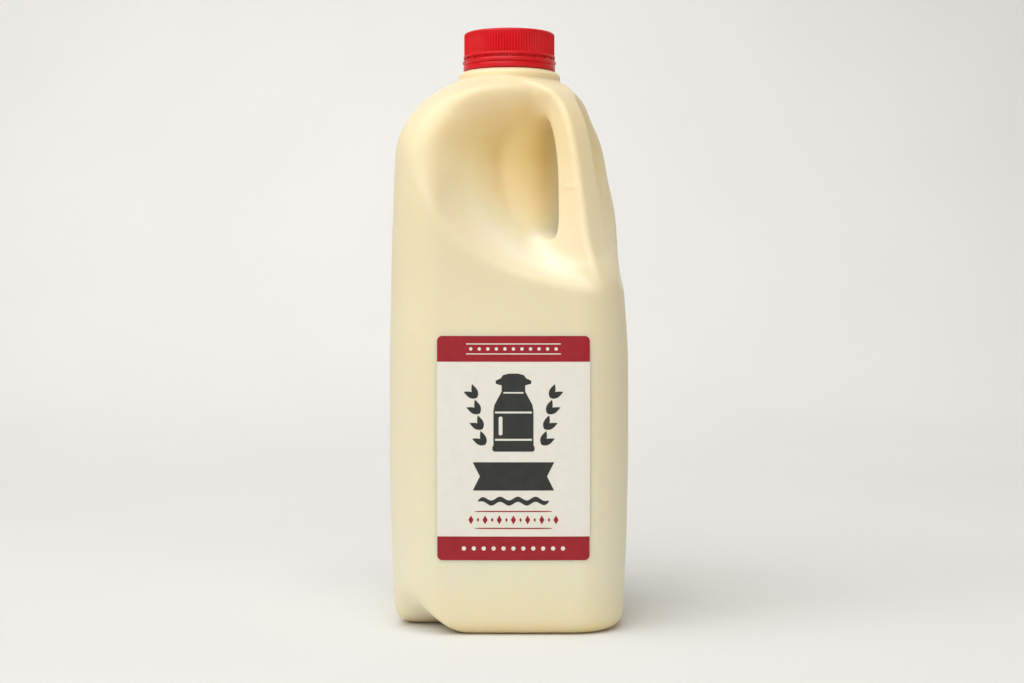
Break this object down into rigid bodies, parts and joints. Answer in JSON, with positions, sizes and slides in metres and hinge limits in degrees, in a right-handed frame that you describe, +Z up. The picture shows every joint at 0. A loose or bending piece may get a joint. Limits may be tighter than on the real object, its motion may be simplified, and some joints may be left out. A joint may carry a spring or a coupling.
{
  "type": "plastic milk jug",
  "caption": "Full square-bodied plastic milk jug with a moulded-in corner handle, a ribbed screw cap with tamper band and a plain front label.",
  "frame": {"origin": "middle of the base, on the neck's axis", "axes": "+Z up along the neck's axis, the label faces -Y and the handle stands on the corner between +X and -Y"},
  "size_m": [0.1046, 0.1052, 0.2622],
  "materials": {
    "jug": "translucent natural plastic, full of creamy milk",
    "cap": "satin moulded plastic",
    "label": "satin printed film"
  },
  "bodies": {
    "root": {"jug": "jug", "cap": "cap", "label": "label"}
  },
  "joints": []
}
